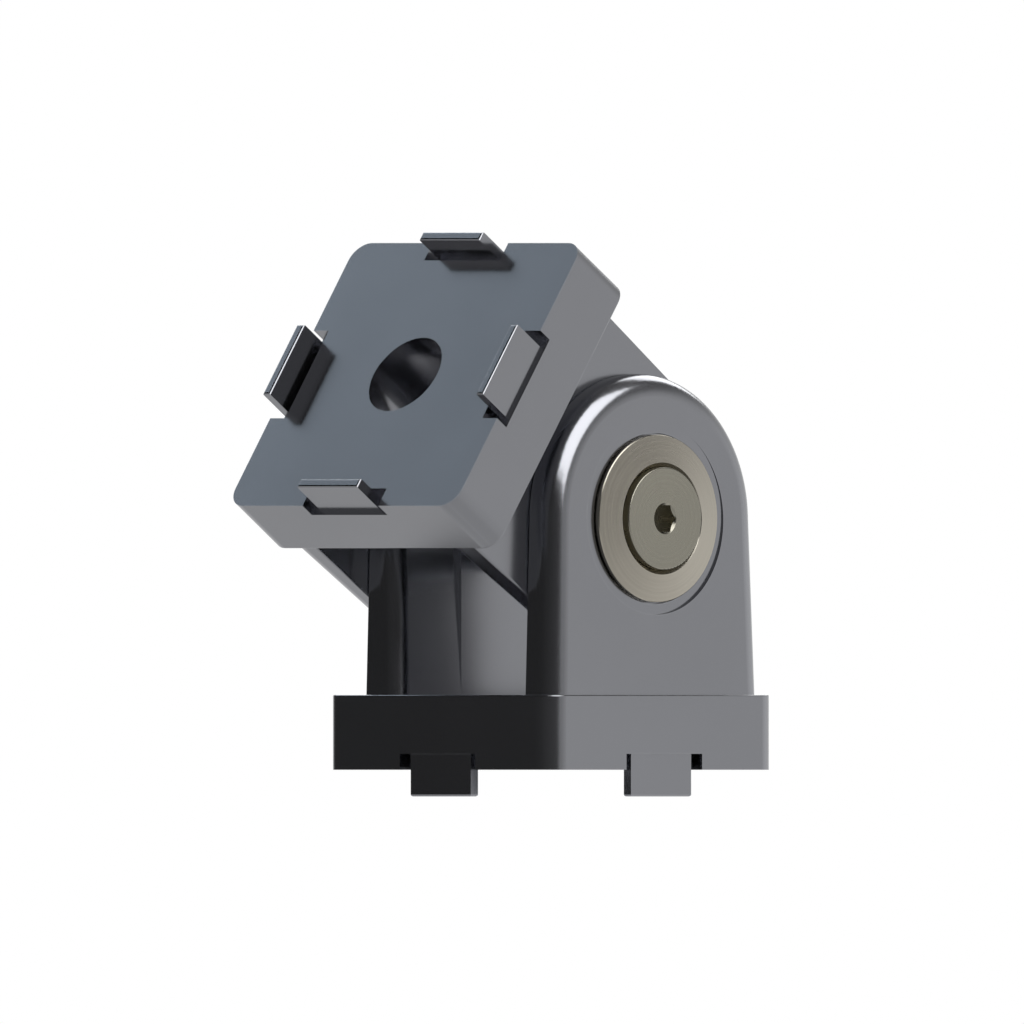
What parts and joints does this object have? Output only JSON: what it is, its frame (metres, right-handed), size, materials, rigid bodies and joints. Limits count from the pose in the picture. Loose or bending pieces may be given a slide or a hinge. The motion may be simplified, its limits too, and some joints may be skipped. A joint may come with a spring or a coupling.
{
  "type": "profile pivot joint",
  "caption": "Adjustable pivot joint that ties two slotted extrusion profiles together at any angle, with interleaved cast halves on a clamped pivot.",
  "frame": {"origin": "centre of the lower half's mating face, on the axis of its fixing bore", "axes": "+Z out of the lower profile's end and up through the pivot, +X along the pivot axis towards the lower half's outer ear, and the upper half leans towards -Y at rest"},
  "size_m": [0.0302, 0.0446, 0.0528],
  "materials": {
    "casting": "satin die-cast, dark grey",
    "bush_metal": "satin nickel plate",
    "screw_metal": "satin zinc plate",
    "nut_metal": "zinc plate"
  },
  "bodies": {
    "lower": {"lower_half": "casting", "lower_lug_right": "casting", "lower_lug_back": "casting", "lower_lug_left": "casting", "lower_lug_front": "casting", "right_bush": "bush_metal", "pivot_nut": "nut_metal"},
    "upper": {"upper_half": "casting", "upper_lug_right": "casting", "upper_lug_back": "casting", "upper_lug_left": "casting", "upper_lug_front": "casting", "left_bush": "bush_metal"},
    "right_screw": {"right_clamp_screw": "screw_metal"},
    "left_screw": {"left_clamp_screw": "screw_metal"}
  },
  "joints": [
    {"name": "pivot", "type": "hinge", "parent": "lower", "child": "upper", "pos_m": [0, 0, 0.0235], "axis": [1, 0, 0], "range_deg": [-145, 35]},
    {"name": "right_screw_turn", "type": "hinge", "parent": "lower", "child": "right_screw", "pos_m": [0, 0, 0.0235], "axis": [1, 0, 0], "range_deg": [0, 180]},
    {"name": "left_screw_turn", "type": "hinge", "parent": "lower", "child": "left_screw", "pos_m": [0, 0, 0.0235], "axis": [-1, 0, 0], "range_deg": [0, 180]}
  ]
}
